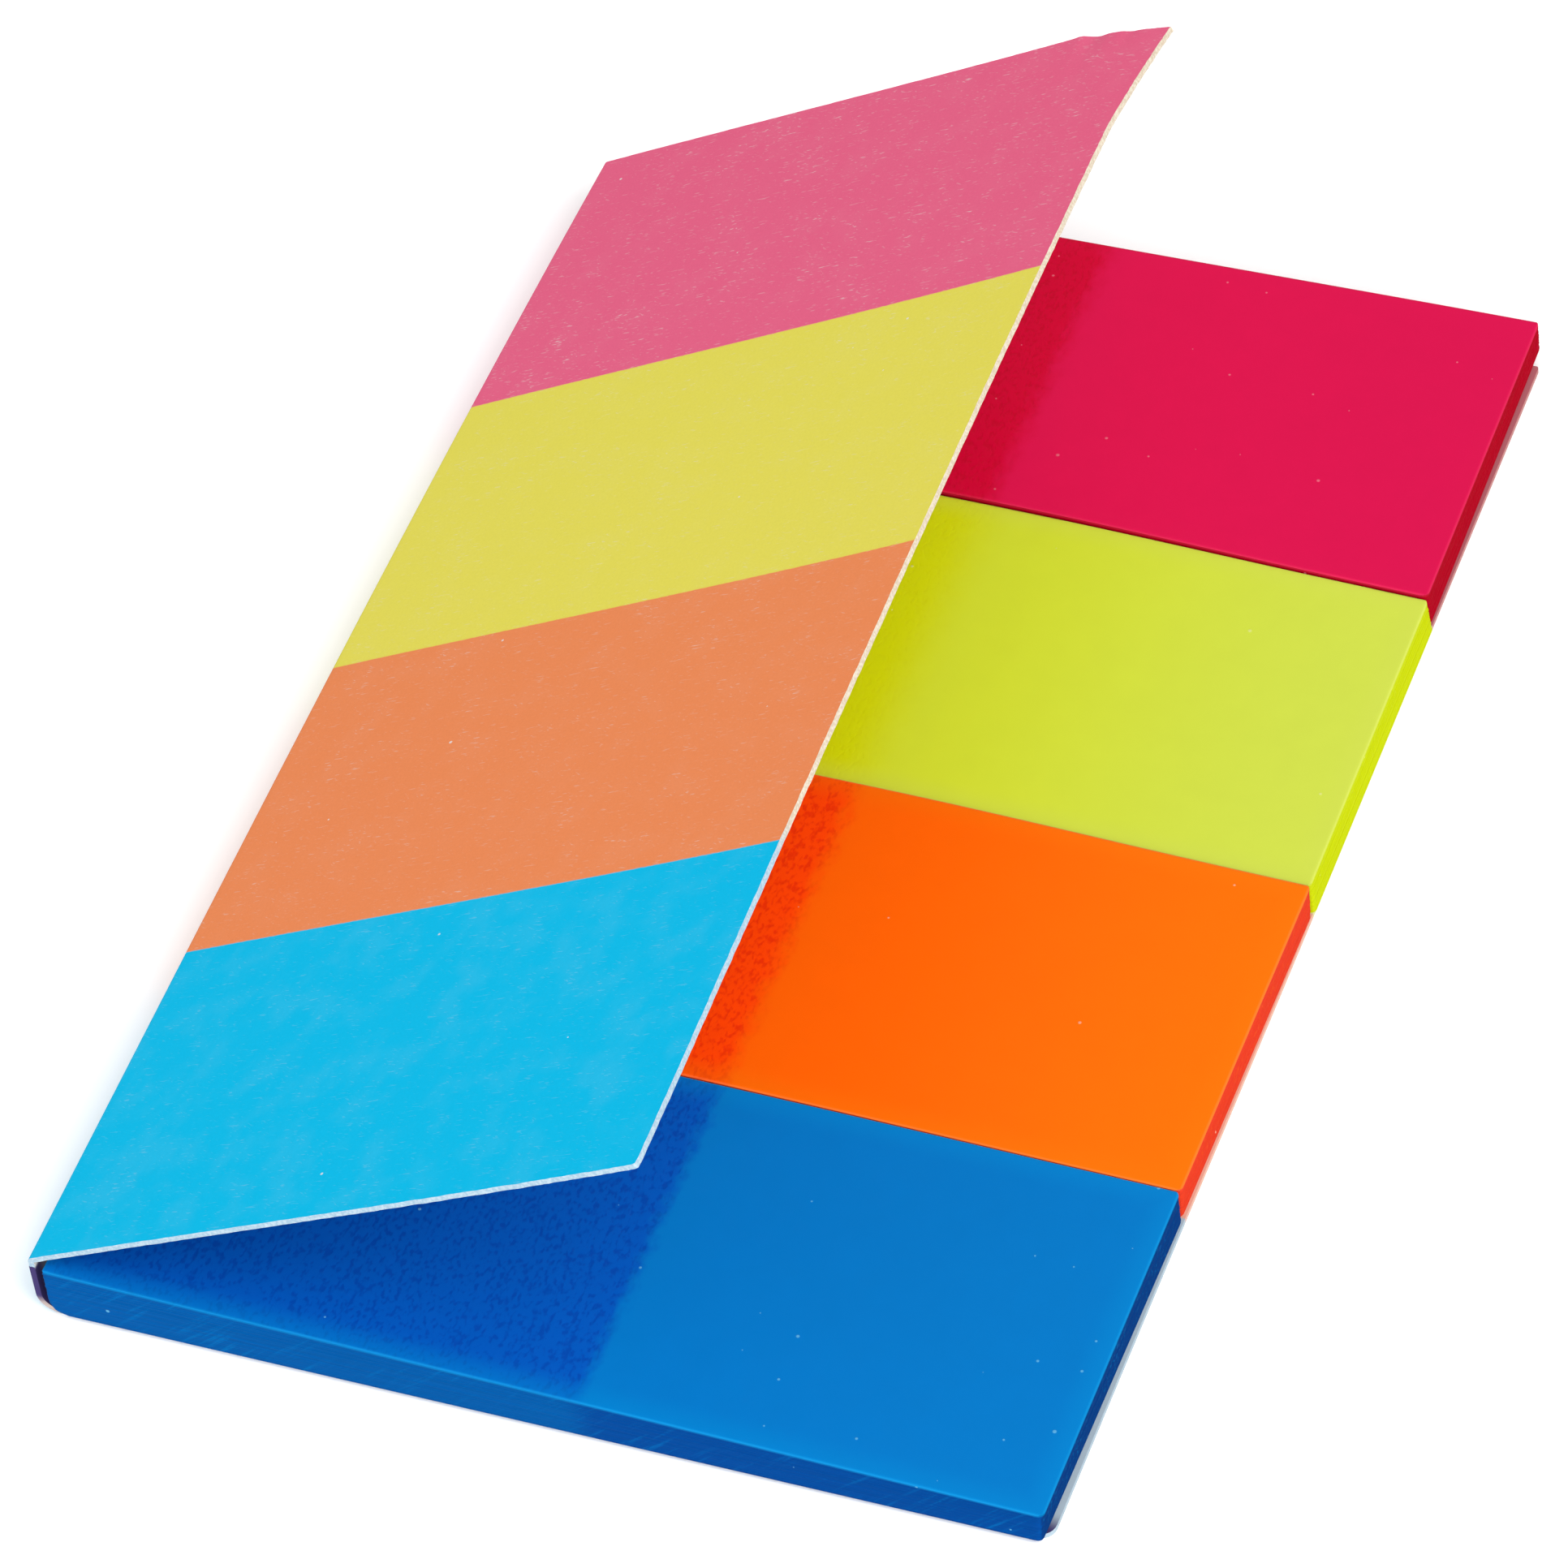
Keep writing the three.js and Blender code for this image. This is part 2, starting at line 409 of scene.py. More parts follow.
def dust_group():
    """Sparse pale specks in X and Y: cells of a pattern, of which only a share has one."""
    inputs = {"Position": "vector", "Cell Size mm": "value", "Share": "value", "Speck Size": "value"}
    tree, entry, result = new_group("dust specks", inputs, {"Mask": "value"})
    per_metre = maths(tree, "DIVIDE", 1000.0, entry.outputs["Cell Size mm"])
    spread = {"Vector": entry.outputs["Position"], "Scale": per_metre}
    cells = node(tree, "ShaderNodeTexVoronoi", spread, voronoi_dimensions="2D")
    lottery = node(tree, "ShaderNodeSeparateColor", {"Color": cells.outputs["Color"]})
    chosen = maths(tree, "LESS_THAN", lottery.outputs["Red"], entry.outputs["Share"])
    varied = maths(tree, "ADD", lottery.outputs["Green"], 0.35)
    own_size = product(tree, entry.outputs["Speck Size"], varied)
    inner = product(tree, own_size, 0.55)
    closeness = node(
        tree, "ShaderNodeMapRange",
        {"Value": cells.outputs["Distance"], "From Min": own_size, "From Max": inner},
    ).outputs["Result"]
    tree.links.new(product(tree, closeness, chosen), result.inputs["Mask"])
    return tree


def adhesive_group():
    """Where the films are stuck: 1 on the spine's side of a ragged edge, 0 beyond it."""
    inputs = {"Position": "vector", "Edge X mm": "value", "Ragged mm": "value", "Fade mm": "value"}
    tree, entry, result = new_group("adhesive zone", inputs, {"Mask": "value"})
    along_tab = product(tree, by_axis(tree, entry.outputs["Position"])["X"], 1000.0)
    uneven = noise(tree, entry.outputs["Position"], 0.55, 3.0, (1.0, 1.6, 1.0))
    ragged = maths(tree, "SUBTRACT", uneven, 0.5)
    shifted = maths(tree, "MULTIPLY_ADD", ragged, entry.outputs["Ragged mm"], along_tab)
    beyond = maths(tree, "SUBTRACT", shifted, entry.outputs["Edge X mm"])
    half_fade = product(tree, entry.outputs["Fade mm"], 0.5)
    start = product(tree, half_fade, -1.0)
    tree.links.new(ramped(tree, beyond, start, half_fade, 1.0, 0.0), result.inputs["Mask"])
    return tree


def blotch_group():
    """Soft dark blotches in rough rows, where the adhesive holds the film beneath."""
    inputs = {"Position": "vector"}
    tree, entry, result = new_group("adhesive blotches", inputs, {"Mask": "value"})
    fine = noise(tree, entry.outputs["Position"], 0.27, 1.0, (0.8, 1.4, 1.0))
    broad = noise(tree, entry.outputs["Position"], 3.5, 1.0)
    uneven = maths(tree, "MULTIPLY_ADD", broad, 0.12, maths(tree, "SUBTRACT", fine, 0.06))
    tree.links.new(ramped(tree, uneven, 0.46, 0.70), result.inputs["Mask"])
    return tree


def fibre_group():
    """Paper fibres: short thin strokes, from noise stretched along two crossing directions."""
    inputs = {"Position": "vector"}
    tree, entry, result = new_group("paper fibres", inputs, {"Strokes": "value", "Cloud": "value"})
    level = turned(tree, entry.outputs["Position"], (0.0, 0.0, 0.06))
    first = ramped(tree, noise(tree, level, 0.10, 1.0, (6.0, 1.0, 6.0)), 0.64, 0.78)
    crossed = turned(tree, entry.outputs["Position"], (0.0, 0.0, 0.5))
    second = ramped(tree, noise(tree, crossed, 0.10, 1.0, (4.0, 1.0, 4.0)), 0.66, 0.78)
    strokes = maths(tree, "MAXIMUM", first, product(tree, second, 0.7))
    tree.links.new(strokes, result.inputs["Strokes"])
    tree.links.new(noise(tree, entry.outputs["Position"], 2.2, 4.0), result.inputs["Cloud"])
    return tree


DUST = dust_group()
ADHESIVE = adhesive_group()
BLOTCHES = blotch_group()
FIBRES = fibre_group()


def placed(tree, group, inputs):
    """Places a node group with its own input values, and gives its outputs."""
    return node(tree, "ShaderNodeGroup", inputs, node_tree=group).outputs


def specks(tree, position, cell_mm, share, speck_size):
    """Where the dust group's specks lie at a position."""
    inputs = {"Position": position, "Cell Size mm": cell_mm, "Share": share, "Speck Size": speck_size}
    return placed(tree, DUST, inputs)["Mask"]


def new_finish(name, roughness, gloss):
    """A material with one Principled shader, and the piece's own Object coordinates."""
    material = bpy.data.materials.new(name)
    material.use_nodes = True
    tree = material.node_tree
    shader = tree.nodes["Principled BSDF"]
    shader.inputs["Roughness"].default_value = roughness
    shader.inputs["Specular IOR Level"].default_value = gloss
    position = tree.nodes.new("ShaderNodeTexCoord").outputs["Object"]
    return material, tree, shader, position


def point_value(tree, name):
    """A value that the piece keeps at its points."""
    kept = node(tree, "ShaderNodeAttribute", attribute_name=name, attribute_type="GEOMETRY")
    return kept.outputs["Fac"]


def add_bump(tree, shader, height, distance_mm, strength):
    """Feeds a height from 0 to 1 to the shader's normal."""
    inputs = {"Height": height, "Distance": distance_mm * MM, "Strength": strength}
    tree.links.new(node(tree, "ShaderNodeBump", inputs).outputs["Normal"], shader.inputs["Normal"])


def film_top_finish(tint):
    """The top film: free half, stuck half with blotches, a painted highlight along its cut edges, dust."""
    material, tree, shader, position = new_finish(tint["name"] + "_film_top", 0.36, tint["gloss"])
    edge_x = ADHESIVE_REACH - BOOKLET_ORIGIN[0]
    inputs = {"Position": position, "Edge X mm": edge_x}
    inputs.update({"Ragged mm": tint["ragged"], "Fade mm": tint["fade"]})
    zone = placed(tree, ADHESIVE, inputs)["Mask"]
    blotches = placed(tree, BLOTCHES, {"Position": position})["Mask"]
    outward_share = ramped(tree, by_axis(tree, position)["X"], 3 * MM, 26 * MM)
    free = mixed(tree, outward_share, tint["free_inner"], tint["free_outer"])
    stuck_strength = product(tree, blotches, tint["blotch"])
    stuck = mixed(tree, stuck_strength, tint["stuck"], tint["stuck_dark"])
    colour = mixed(tree, zone, free, stuck)
    mottle = maths(tree, "MULTIPLY_ADD", noise(tree, position, 1.6, 3.0), 0.05, 0.975)
    colour = toned(tree, colour, mottle)
    # Painted highlight near the cut edges: a soft glow of the rim colour and a bright line.
    rim_distance = point_value(tree, "rim_mm")
    glow = product(tree, ramped(tree, rim_distance, 1.6, 0.0), tint["rim_highlight_glow"])
    colour = mixed(tree, glow, colour, tint["rim"])
    line = product(tree, ramped(tree, rim_distance, 0.13, 0.05), tint["rim_highlight_line"])
    colour = mixed(tree, line, colour, tint["rim_highlight_colour"])
    dust = specks(tree, position, cell_mm=2.2, share=tint["dust"], speck_size=0.04)
    colour = mixed(tree, product(tree, dust, 0.55), colour, tint["dust_colour"])
    tree.links.new(colour, shader.inputs["Base Color"])
    rough = maths(tree, "MULTIPLY_ADD", blotches, product(tree, zone, 0.1), 0.34)
    tree.links.new(maths(tree, "MULTIPLY_ADD", dust, 0.3, rough), shader.inputs["Roughness"])
    relief = product(tree, product(tree, blotches, zone), -1.0)
    add_bump(tree, shader, maths(tree, "ADD", relief, dust), 0.012, 0.6)
    return material


def film_cut_finish(tint):
    """The cut edges of a stack: film lines, slanting cutter marks, and a painted highlight along the upper
    edge.
    """
    material, tree, shader, position = new_finish(tint["name"] + "_film_cut", 0.6, tint["gloss"] * 0.4)
    where = by_axis(tree, position)
    near_stuck = ramped(tree, where["X"], 1.5 * MM, 3.5 * MM, 1.0, 0.0)
    colour = mixed(tree, near_stuck, tint["cut"], tint["cut_stuck"])
    # Painted shading: the free end's face takes its own colour, set for the light that falls on it there.
    normal = node(tree, "ShaderNodeNewGeometry").outputs["Normal"]
    facing_out_shading = ramped(tree, by_axis(tree, normal)["X"], 0.4, 0.8)
    colour = mixed(tree, facing_out_shading, colour, tint["cut_end_shading"])
    slanted = turned(tree, position, (0.0, 0.75, 0.0))
    marks = ramped(tree, noise(tree, slanted, 0.22, 2.0, (14.0, 1.0, 1.0)), 0.52, 0.78)
    patches = ramped(tree, noise(tree, position, 3.2, 2.0), 0.35, 0.7)
    marks = product(tree, marks, maths(tree, "MULTIPLY_ADD", patches, 0.75, 0.25))
    colour = mixed(tree, product(tree, marks, tint["marks"]), colour, tint["rim"])
    film_lines = noise(tree, position, 0.09, 2.0, (60.0, 60.0, 1.0))
    darker = maths(tree, "MULTIPLY_ADD", film_lines, 0.5, 0.74)
    colour = mixed(tree, tint["line_strength"], colour, toned(tree, colour, darker))
    # Painted highlight along the top of the walls.
    below_top = point_value(tree, "rim_mm")
    glow = product(tree, ramped(tree, below_top, 0.16, 0.02), tint["rim_highlight_line"])
    colour = mixed(tree, glow, colour, tint["rim_highlight_colour"])
    sideways = maths(tree, "ADD", where["X"], where["Y"])
    unrolled = node(tree, "ShaderNodeCombineXYZ", {"X": sideways, "Y": where["Z"]})
    dust = specks(tree, unrolled.outputs["Vector"], cell_mm=1.5, share=0.06, speck_size=0.06)
    colour = mixed(tree, product(tree, dust, 0.6), colour, tint["dust_colour"])
    tree.links.new(colour, shader.inputs["Base Color"])
    add_bump(tree, shader, maths(tree, "ADD", marks, film_lines), 0.02, 0.5)
    return material


def film_under_finish(tint):
    """The lowest film, which lies on the card: the stack's plain tint with faint mottling."""
    material, tree, shader, position = new_finish(tint["name"] + "_film_under", 0.5, tint["gloss"])
    cloud = noise(tree, position, 2.0, 3.0)
    tree.links.new(mixed(tree, cloud, tint["cut"], tint["stuck"]), shader.inputs["Base Color"])
    return material


def printed_finish(name, bare_from_x=None):
    """Uncoated card printed with four flat bands, with fibres showing pale through the ink.

    bare_from_x is the X in metres from which the card is left unprinted.
    """
    material, tree, shader, position = new_finish(name, 0.7, 0.03)
    where = by_axis(tree, position)
    along = maths(tree, "MULTIPLY_ADD", where["Y"], 1000.0, BOOKLET_ORIGIN[1])
    wander = maths(tree, "MULTIPLY_ADD", noise(tree, position, 0.3, 2.0), 0.06, -0.03)
    along = maths(tree, "ADD", along, wander)
    bands = [PRINT_BLUE, PRINT_ORANGE, PRINT_YELLOW, PRINT_PINK]
    colour = bands[0]
    for edge, band in zip(BAND_EDGES, bands[1:]):
        colour = mixed(tree, ramped(tree, along, edge - 0.05, edge + 0.05), colour, band)
    if bare_from_x is not None:
        bare = ramped(tree, where["X"], bare_from_x - 0.1 * MM, bare_from_x + 0.1 * MM)
        colour = mixed(tree, bare, colour, PAPER_WHITE)
    fibres = placed(tree, FIBRES, {"Position": position})
    patches = ramped(tree, fibres["Cloud"], 0.42, 0.72)
    past_blue = ramped(tree, along, BAND_EDGES[0] - 0.1, BAND_EDGES[0] + 0.1, 0.25, 0.7)
    past_yellow = ramped(tree, along, BAND_EDGES[2] - 0.1, BAND_EDGES[2] + 0.1, 0.0, 0.3)
    by_patch = maths(tree, "MULTIPLY_ADD", patches, 0.3, 0.2)
    strokes = product(tree, fibres["Strokes"], by_patch)
    strokes = product(tree, strokes, maths(tree, "ADD", past_blue, past_yellow))
    colour = mixed(tree, strokes, colour, PAPER_WHITE)
    colour = mixed(tree, product(tree, patches, 0.02), colour, PAPER_WHITE)
    grain = maths(tree, "MULTIPLY_ADD", noise(tree, position, 0.12, 2.0), 0.10, 0.95)
    colour = toned(tree, colour, grain)
    chips = specks(tree, position, cell_mm=2.6, share=0.05, speck_size=0.03)
    colour = mixed(tree, product(tree, chips, 0.8), colour, PAPER_WHITE)
    tree.links.new(colour, shader.inputs["Base Color"])
    relief = maths(tree, "ADD", product(tree, fibres["Strokes"], 0.6), grain)
    add_bump(tree, shader, relief, 0.012, 0.5)
    return material


def plain_card_finish():
    """Unprinted white card with soft clouding and fibres.

    The strip that shows past the free ends of the films has painted shade tinted with the
    films' reflected colours, and the near end inside the spine has painted shade with a blue
    reflection.
    """
    material, tree, shader, position = new_finish("plain_card", 0.75, 0.1)
    fibres = placed(tree, FIBRES, {"Position": position})
    colour = mixed(tree, fibres["Cloud"], PAPER_WHITE, PAPER_SHADE)
    colour = mixed(tree, product(tree, fibres["Strokes"], 0.35), colour, PAPER_FIBRE)
    where = by_axis(tree, position)
    # Painted shade tinted with the films' reflected colours on the strip past their free ends.
    colour = mixed(tree, ramped(tree, where["X"], *STRIP_X), colour, strip_shade_beside_films(tree, where))
    # Painted shade with a blue reflection inside the spine's near end.
    below_fold = ramped(tree, where["Z"], 3.3 * MM, 2.9 * MM)
    near_end = ramped(tree, where["Y"], -38.2 * MM, -39.4 * MM)
    spine_shade = product(tree, below_fold, near_end)
    colour = mixed(tree, spine_shade, colour, SPINE_END_SHADE)
    tree.links.new(colour, shader.inputs["Base Color"])
    add_bump(tree, shader, fibres["Strokes"], 0.015, 0.5)
    return material


def strip_shade_beside_films(tree, where):
    """The card's painted shade beside each stack, tinted with its reflected colour, changing at the gaps
    between the stacks.
    """
    colour = STRIP_SHADE_AND_REFLECTION[0]
    for gap, strip in zip(STACK_GAPS, STRIP_SHADE_AND_REFLECTION[1:]):
        past_gap = ramped(tree, where["Y"], (gap - 0.05) * MM, (gap + 0.05) * MM)
        colour = mixed(tree, past_gap, colour, strip)
    return colour


def cut_card_finish(name, with_painted_shade):
    """The cut edge of the card: faint torn fibres, cool by the blue band and cream past it, tints that are
    partly the print's colour and partly a painted reflection of the films.

    The second argument is for the back's edge, which has painted shade at the spine's near end
    and, at its free edge, painted shade tinted with the films' reflected colours.
    """
    material, tree, shader, position = new_finish(name, 0.85, 0.05)
    torn = noise(tree, position, 0.14, 3.0)
    where = by_axis(tree, position)
    # Partly print colour and partly a painted reflection of the films: cool by the blue band, cream past
    # it.
    past_blue = ramped(tree, where["Y"], -21.0 * MM, -18.0 * MM)
    pale = mixed(tree, past_blue, CUT_PALE, CUT_CREAM)
    shade = mixed(tree, past_blue, CUT_SHADE, CUT_TAN)
    colour = mixed(tree, ramped(tree, torn, 0.35, 0.7), shade, pale)
    if with_painted_shade:
        # Painted shade at the spine's near end, paler low down.
        on_spine = ramped(tree, where["X"], -24.0 * MM, -24.6 * MM)
        near_end = ramped(tree, where["Y"], -37.0 * MM, -38.5 * MM)
        spine_end_shade = product(tree, on_spine, near_end)
        low = ramped(tree, where["Z"], 1.1 * MM, 0.3 * MM)
        colour = mixed(tree, spine_end_shade, colour, mixed(tree, low, SPINE_END_SHADE, SPINE_END_SHADE_LOW))
        # Painted shade tinted with the films' reflected colours along the free edge.
        strip_shade_share = product(tree, ramped(tree, where["X"], *STRIP_X), 0.75)
        colour = mixed(tree, strip_shade_share, colour, strip_shade_beside_films(tree, where))
    tree.links.new(colour, shader.inputs["Base Color"])
    add_bump(tree, shader, torn, 0.02, 0.6)
    return material


def floor_finish():
    """A pale matt floor with a very faint unevenness of tone."""
    material, tree, shader, position = new_finish("pale_floor", 0.7, 0.1)
    cloud = noise(tree, position, 60.0, 2.0)
    tree.links.new(mixed(tree, cloud, FLOOR_PALE, FLOOR_WHITE), shader.inputs["Base Color"])
    return material


PRINT_BLUE = seen(5, 184, 229, ON_COVER)
PRINT_ORANGE = seen(233, 137, 86, ON_COVER)
PRINT_YELLOW = seen(225, 215, 87, ON_COVER)
PRINT_PINK = seen(228, 98, 134, ON_COVER)
PAPER_WHITE = seen(224, 224, 220, ON_COVER)
PAPER_SHADE = seen(210, 210, 205, ON_COVER)
PAPER_FIBRE = seen(188, 186, 179, ON_COVER)
# The cut edges' tones, cool by the blue band and cream past it: partly print colour, partly a painted
# reflection of the films.
CUT_PALE = seen(196, 216, 228, ON_CUT_EDGES)
CUT_SHADE = seen(164, 194, 214, ON_CUT_EDGES)
CUT_CREAM = seen(236, 226, 206, ON_CUT_EDGES)
CUT_TAN = seen(216, 198, 174, ON_CUT_EDGES)
# Painted shade at the spine's near end, dark above and paler low down.
SPINE_END_SHADE = seen(66, 56, 104, ON_COVER)
SPINE_END_SHADE_LOW = seen(196, 178, 170, ON_COVER)

# The card's painted shade beside the free ends of the films, tinted with each stack's
# reflected colour, near to far.
STRIP_SHADE_AND_REFLECTION = [
    seen(172, 188, 198, ON_COVER),
    seen(226, 170, 150, ON_COVER),
    seen(214, 216, 150, ON_COVER),
    seen(184, 104, 112, ON_COVER),
]

FLOOR_WHITE = linear(247, 247, 247)
FLOOR_PALE = linear(244, 244, 244)

# The films' tints. ragged and fade are for the edge of the adhesive, in millimetres. blotch,
# the rim's glow and line, marks and line_strength say how much of a colour is mixed in, and dust
# is the share of places that have a speck. The rim colours and the rim's glow and line are a
# painted highlight along the cut edges; the plain rim colour also tints the cutter marks.
# The free end's cut colour is painted shading, set apart from the side walls for the light that falls on
# the free end.
TINTS = {
    "blue_films": {
        "name": "blue", "gloss": 0.05, "ragged": 1.3, "fade": 1.0, "blotch": 1.0, "dust": 0.16,
        "free_inner": seen(0, 121, 203, ON_FREE_HALF), "free_outer": seen(0, 122, 201, ON_FREE_HALF),
        "stuck": seen(0, 80, 174, BY_COVER), "stuck_dark": seen(0, 66, 159, BY_COVER),
        "rim": seen(0, 140, 214, ON_FREE_HALF), "rim_highlight_colour": seen(10, 142, 208, ON_FREE_HALF),
        "rim_highlight_glow": 0.4, "rim_highlight_line": 0.55,
        "cut": seen(0, 72, 150, ON_CUT_EDGES), "cut_stuck": seen(0, 88, 162, ON_CUT_EDGES),
        "cut_end_shading": seen(0, 56, 124, ON_CUT_EDGES),
        "marks": 0.35, "line_strength": 0.5, "dust_colour": seen(120, 200, 235, ON_FREE_HALF),
    },
    "orange_films": {
        "name": "orange", "gloss": 0.05, "ragged": 1.2, "fade": 1.4, "blotch": 1.0, "dust": 0.03,
        "free_inner": seen(255, 98, 2, BESIDE_COVER), "free_outer": seen(255, 118, 3, ON_FREE_HALF),
        "stuck": seen(247, 66, 2, BY_COVER), "stuck_dark": seen(230, 48, 2, BY_COVER),
        "rim": seen(255, 126, 10, ON_FREE_HALF), "rim_highlight_colour": seen(255, 140, 90, ON_FREE_HALF),
        "rim_highlight_glow": 0.3, "rim_highlight_line": 0.2,
        "cut": seen(236, 66, 38, ON_CUT_EDGES), "cut_stuck": seen(226, 50, 20, ON_CUT_EDGES),
        "cut_end_shading": seen(228, 62, 36, ON_CUT_EDGES),
        "marks": 0.25, "line_strength": 0.4, "dust_colour": seen(255, 200, 170, ON_FREE_HALF),
    },
    "yellow_films": {
        "name": "yellow", "gloss": 0.1, "ragged": 0.7, "fade": 3.4, "blotch": 0.25, "dust": 0.02,
        "free_inner": seen(210, 223, 48, BESIDE_COVER), "free_outer": seen(213, 228, 78, ON_FREE_HALF),
        "stuck": seen(204, 211, 2, BY_COVER), "stuck_dark": seen(200, 203, 0, BY_COVER),
        "rim": seen(214, 226, 90, ON_FREE_HALF), "rim_highlight_colour": seen(216, 226, 110, ON_FREE_HALF),
        "rim_highlight_glow": 0.3, "rim_highlight_line": 0.3,
        "cut": seen(200, 212, 2, ON_CUT_EDGES), "cut_stuck": seen(190, 196, 0, ON_CUT_EDGES),
        "cut_end_shading": seen(203, 216, 2, ON_CUT_EDGES),
        "marks": 0.15, "line_strength": 0.25, "dust_colour": seen(235, 240, 160, ON_FREE_HALF),
    },
    "magenta_films": {
        "name": "magenta", "gloss": 0.05, "ragged": 1.4, "fade": 1.6, "blotch": 0.6, "dust": 0.2,
        "free_inner": seen(225, 17, 78, BESIDE_COVER), "free_outer": seen(225, 17, 81, ON_FREE_HALF),
        "stuck": seen(206, 0, 50, BY_COVER), "stuck_dark": seen(190, 0, 38, BY_COVER),
        "rim": seen(226, 30, 80, ON_FREE_HALF), "rim_highlight_colour": seen(228, 70, 104, ON_FREE_HALF),
        "rim_highlight_glow": 0.1, "rim_highlight_line": 0.2,
        "cut": seen(184, 0, 32, ON_CUT_EDGES), "cut_stuck": seen(176, 0, 28, ON_CUT_EDGES),
        "cut_end_shading": seen(174, 2, 30, ON_CUT_EDGES),
        "marks": 0.2, "line_strength": 0.6, "dust_colour": seen(255, 140, 160, ON_FREE_HALF),
    },
}


# Shapes


def rounded_corners(across, along, lengths, radii):
    """Rounds a rectangle's corners: the square at each corner is mapped to a quarter disc.

    across and along are distances in a rectangle of the given lengths. A point in a
    corner's square keeps its direction from the disc's centre, and its larger distance
    on either axis becomes its distance in that direction. radii go round from the origin:
    (low, low), (high, low), (high, high), (low, high).
    """
    across, along = across.copy(), along.copy()
    corners = [(0, 0), (1, 0), (1, 1), (0, 1)]
    for (high_across, high_along), radius in zip(corners, radii):
        centre_across = lengths[0] - radius if high_across else radius
        centre_along = lengths[1] - radius if high_along else radius
        out_across = (across - centre_across) * (1 if high_across else -1)
        out_along = (along - centre_along) * (1 if high_along else -1)
        in_square = (out_across > 0) & (out_along > 0)
        reach = np.hypot(out_across, out_along)
        squeeze = np.where(in_square, np.maximum(out_across, out_along) / np.maximum(reach, 1e-9), 1.0)
        across = np.where(in_square, centre_across + (across - centre_across) * squeeze, across)
        along = np.where(in_square, centre_along + (along - centre_along) * squeeze, along)
    return across, along


def cut_edge_loops(top, bottom, levels, roughness, bulge):
    """Wall loops of a cut card edge, from the top's border to the bottom's.

    They bulge out by 4h(1-h) of the bulge at height share h, with random roughness along
    the outward way.
    """
    rows, columns = top.shape[:2]
    walk, inside = border_walk(rows, columns)
    upper, lower = top.reshape(-1, 3)[walk], bottom.reshape(-1, 3)[walk]
    out = upper - top.reshape(-1, 3)[inside]
    out = out / np.linalg.norm(out, axis=1, keepdims=True)
    shares = np.linspace(0.0, 1.0, levels + 2)[1:-1]
    loops = []
    for share in shares:
        rough = RANDOM.uniform(-roughness, roughness, len(walk))
        swell = (4.0 * share * (1.0 - share) * bulge + rough)[:, None]
        loops.append(upper + (lower - upper) * share + out * swell)
    return np.array(loops)


def fold_shift(share):
    """How much nearer the films the upper fold is than its middle, at a share of its length.

    It is the square of the distance from the middle, as a share of half the length, times
    the bow, which goes evenly from the near end's to the far end's.
    """
    return (2.0 * share - 1.0) ** 2 * between((FOLD_BOW_NEAR, FOLD_BOW_FAR), share)


def cover_angle(share):
    """The cover's angle above the table at a share of the spine's length, in radians."""
    return np.radians(between((COVER_ANGLE_NEAR, COVER_ANGLE_FAR), share))


def back_far_y(x):
    """The far cut edge of the back panel and spine, cut out of square."""
    return CARD_FAR_Y - (CARD_FREE_EDGE_FAR - x) * math.tan(math.radians(BACK_CUT_SKEW))


SPINE_FAR_Y = back_far_y(HINGE_X)


